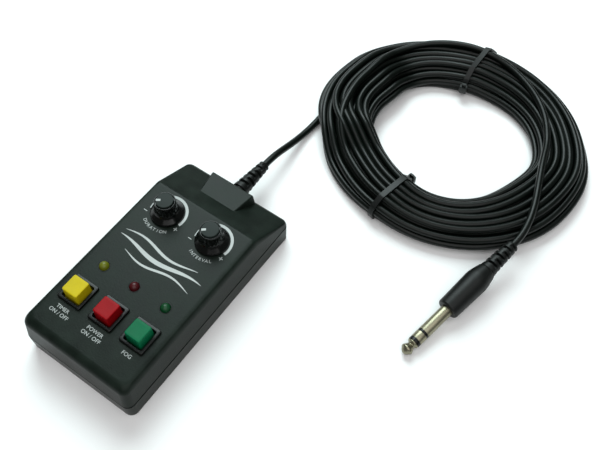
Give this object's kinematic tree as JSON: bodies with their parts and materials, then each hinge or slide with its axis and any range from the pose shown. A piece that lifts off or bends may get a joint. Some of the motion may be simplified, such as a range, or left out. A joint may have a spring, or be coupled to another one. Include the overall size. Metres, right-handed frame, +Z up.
{
  "type": "fog machine timer remote",
  "caption": "Wired hand remote that times a fog machine: push buttons, turning dials and lamps on a black case, with a coiled cord and a three-pole plug.",
  "frame": {"origin": "middle of the case's underside, on the surface it stands on", "axes": "+X to the right across the buttons, +Y from the buttons towards the cord entry, +Z up out of the control panel"},
  "size_m": [0.1791, 0.2917, 0.0376],
  "materials": {
    "case_plastic": "fine spark-eroded texture, satin",
    "bezel_plastic": "smooth black",
    "knob_plastic": "polished black",
    "knob_cap_plastic": "matt dark grey",
    "yellow_plastic": "semi-gloss yellow",
    "red_plastic": "semi-gloss red",
    "green_plastic": "semi-gloss green",
    "yellow_lens": "clear tinted resin, unlit",
    "red_lens": "clear tinted resin, unlit",
    "green_lens": "clear tinted resin, unlit",
    "white_ink": "screen-printed ink",
    "nickel_plate": "nickel plated, lightly worn",
    "zinc_steel": "zinc plated",
    "brass": "turned",
    "cord_pvc": "satin black PVC sheath",
    "tie_nylon": "satin black nylon",
    "moulded_rubber": "matt black moulded PVC",
    "board_laminate": "green solder mask",
    "component_black": "matt epoxy",
    "header_plastic": "natural nylon"
  },
  "bodies": {
    "root": {"board_screw_1": "zinc_steel", "board_screw_2": "zinc_steel", "board_screw_3": "zinc_steel", "board_screw_4": "zinc_steel", "bottom_shell": "case_plastic", "cable_tie_1": "tie_nylon", "cable_tie_2": "tie_nylon", "capacitor": "component_black", "case_screw_1": "zinc_steel", "case_screw_2": "zinc_steel", "case_screw_3": "zinc_steel", "case_screw_4": "zinc_steel", "circuit_board": "board_laminate", "cord_coil": "cord_pvc", "cord_lead": "cord_pvc", "cord_tail": "cord_pvc", "duration_pot_body": "zinc_steel", "duration_pot_nut": "zinc_steel", "duration_pot_washer": "zinc_steel", "fog_bezel": "bezel_plastic", "fog_led": "green_lens", "fog_led_holder": "bezel_plastic", "fog_spring": "zinc_steel", "fog_switch_body": "component_black", "interval_pot_body": "zinc_steel", "interval_pot_nut": "zinc_steel", "interval_pot_washer": "zinc_steel", "plug_body": "moulded_rubber", "plug_boot": "moulded_rubber", "plug_insulator_1": "bezel_plastic", "plug_insulator_2": "bezel_plastic", "plug_ring": "nickel_plate", "plug_sleeve": "nickel_plate", "plug_tip": "nickel_plate", "power_bezel": "bezel_plastic", "power_led": "red_lens", "power_led_holder": "bezel_plastic", "power_spring": "zinc_steel", "power_switch_body": "component_black", "strain_relief": "moulded_rubber", "timer_bezel": "bezel_plastic", "timer_chip": "component_black", "timer_led": "yellow_lens", "timer_led_holder": "bezel_plastic", "timer_spring": "zinc_steel", "timer_switch_body": "component_black", "top_shell": "case_plastic", "wire_header": "header_plastic"},
    "duration_control": {"duration_knob": "knob_plastic", "duration_knob_cap": "knob_cap_plastic", "duration_pot_shaft": "brass"},
    "interval_control": {"interval_knob": "knob_plastic", "interval_knob_cap": "knob_cap_plastic", "interval_pot_shaft": "brass"},
    "timer_push": {"timer_button": "yellow_plastic"},
    "power_push": {"power_button": "red_plastic"},
    "fog_push": {"fog_button": "green_plastic"}
  },
  "joints": [
    {"name": "duration_turn", "type": "hinge", "parent": "root", "child": "duration_control", "pos_m": [-0.0141, 0.0238, 0.0262], "axis": [0, 0, -1], "range_deg": [0, 255]},
    {"name": "interval_turn", "type": "hinge", "parent": "root", "child": "interval_control", "pos_m": [0.0141, 0.0238, 0.0262], "axis": [0, 0, -1], "range_deg": [0, 255]},
    {"name": "timer_press", "type": "slide", "parent": "root", "child": "timer_push", "axis": [0, 0, -1], "range_m": [0, 0.002], "stiffness_N_per_m": 500, "deforming": ["timer_spring"]},
    {"name": "power_press", "type": "slide", "parent": "root", "child": "power_push", "axis": [0, 0, -1], "range_m": [0, 0.002], "stiffness_N_per_m": 500, "deforming": ["power_spring"]},
    {"name": "fog_press", "type": "slide", "parent": "root", "child": "fog_push", "axis": [0, 0, -1], "range_m": [0, 0.002], "stiffness_N_per_m": 500, "deforming": ["fog_spring"]}
  ]
}
